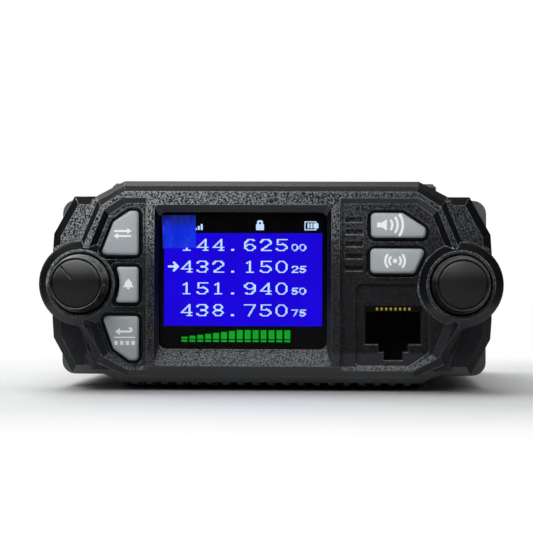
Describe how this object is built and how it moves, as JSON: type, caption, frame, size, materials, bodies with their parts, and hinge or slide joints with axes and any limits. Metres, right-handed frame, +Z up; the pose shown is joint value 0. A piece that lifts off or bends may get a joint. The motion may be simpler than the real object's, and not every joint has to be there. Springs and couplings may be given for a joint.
{
  "type": "mobile transceiver",
  "caption": "Compact mobile two-way radio: black front with rotary knobs, keys, colour display and microphone socket on a finned die-cast chassis with raised lid and rear fan.",
  "frame": {"origin": "underside of the middle fin, on the radio's centre line, halfway between the knob faces and the rear wall of the chassis", "axes": "+X to the right as seen by the user, +Y from the front to the rear, +Z up"},
  "size_m": [0.1022, 0.17, 0.0462],
  "materials": {
    "black_plastic": "moulded, fine grain",
    "black_paint": "satin powder coat",
    "cast_metal": "grey painted die casting",
    "grey_keytop": "satin moulded keytop",
    "knob_plastic": "satin moulded knob",
    "dark_rubber": "matt",
    "clear_lens": "gloss",
    "display_glass": "lit display",
    "white_plastic": "moulded",
    "green_board": "solder-masked board",
    "bare_steel": "bare",
    "dark_steel": "blackened",
    "tin_plate": "tin plated",
    "gold": "gold plated",
    "nickel": "nickel plated",
    "insulator": "moulded",
    "cone_paper": "pressed paper",
    "ribbon": "flat cable",
    "red_wire": "insulated wire",
    "black_wire": "insulated wire"
  },
  "bodies": {
    "radio": {"front_bezel": "black_plastic", "keypad_mat_left": "dark_rubber", "keypad_mat_right": "dark_rubber", "volume_control": "bare_steel", "channel_encoder": "bare_steel", "display_lens": "clear_lens", "display_panel": "display_glass", "display_tray": "white_plastic", "front_board": "green_board", "mic_jack_housing": "black_plastic", "mic_jack_contacts": "gold", "chassis": "cast_metal", "top_cover": "black_paint", "speaker_basket": "dark_steel", "speaker_cone": "cone_paper", "speaker_magnet": "bare_steel", "main_board": "green_board", "rf_shield": "tin_plate", "power_amplifier": "black_plastic", "ribbon_cable": "ribbon", "fan_frame": "black_plastic", "fan_guard": "black_paint", "antenna_socket": "nickel", "antenna_insulator": "insulator", "antenna_contact": "gold", "antenna_nut": "nickel", "speaker_jack": "black_plastic", "speaker_jack_nut": "nickel", "cable_grommet": "dark_rubber", "supply_wire_red": "red_wire", "supply_wire_black": "black_wire", "power_plug": "black_plastic", "cover_screw_1": "dark_steel", "cover_screw_2": "dark_steel", "cover_screw_3": "dark_steel", "cover_screw_4": "dark_steel", "bezel_screw_1": "dark_steel", "bezel_screw_2": "dark_steel", "bezel_screw_3": "dark_steel", "bezel_screw_4": "dark_steel", "board_screw_1": "dark_steel", "board_screw_2": "dark_steel", "board_screw_3": "dark_steel", "board_screw_4": "dark_steel", "fan_screw_1": "dark_steel", "fan_screw_2": "dark_steel", "fan_screw_3": "dark_steel", "fan_screw_4": "dark_steel"},
    "memory_key": {"memory_key": "grey_keytop"},
    "call_key": {"call_key": "grey_keytop"},
    "exit_key": {"exit_key": "grey_keytop"},
    "monitor_key": {"monitor_key": "grey_keytop"},
    "broadcast_key": {"broadcast_key": "grey_keytop"},
    "volume_push": {"volume_plunger": "black_plastic"},
    "volume_turn": {"volume_knob": "knob_plastic", "volume_shaft": "bare_steel"},
    "channel_push": {"channel_plunger": "black_plastic"},
    "channel_turn": {"channel_knob": "knob_plastic", "channel_shaft": "bare_steel"},
    "fan_turn": {"fan_rotor": "black_plastic"}
  },
  "joints": [
    {"name": "memory_key_press", "type": "slide", "parent": "radio", "child": "memory_key", "axis": [0, 1, 0], "range_m": [0, 0.0006]},
    {"name": "call_key_press", "type": "slide", "parent": "radio", "child": "call_key", "axis": [0, 1, 0], "range_m": [0, 0.0006]},
    {"name": "exit_key_press", "type": "slide", "parent": "radio", "child": "exit_key", "axis": [0, 1, 0], "range_m": [0, 0.0006]},
    {"name": "monitor_key_press", "type": "slide", "parent": "radio", "child": "monitor_key", "axis": [0, 1, 0], "range_m": [0, 0.0006]},
    {"name": "broadcast_key_press", "type": "slide", "parent": "radio", "child": "broadcast_key", "axis": [0, 1, 0], "range_m": [0, 0.0006]},
    {"name": "volume_push", "type": "slide", "parent": "radio", "child": "volume_push", "axis": [0, 1, 0], "range_m": [0, 0.0005]},
    {"name": "volume_turn", "type": "hinge", "parent": "volume_push", "child": "volume_turn", "pos_m": [-0.0417, -0.063, 0.0232], "axis": [0, 1, 0], "range_deg": [-108, 192]},
    {"name": "channel_push", "type": "slide", "parent": "radio", "child": "channel_push", "axis": [0, 1, 0], "range_m": [0, 0.0005]},
    {"name": "channel_turn", "type": "hinge", "parent": "channel_push", "child": "channel_turn", "pos_m": [0.0417, -0.063, 0.0232], "axis": [0, 1, 0], "continuous": true},
    {"name": "fan_spin", "type": "hinge", "parent": "radio", "child": "fan_turn", "pos_m": [0, 0.052, 0.0224], "axis": [0, 1, 0], "continuous": true}
  ]
}
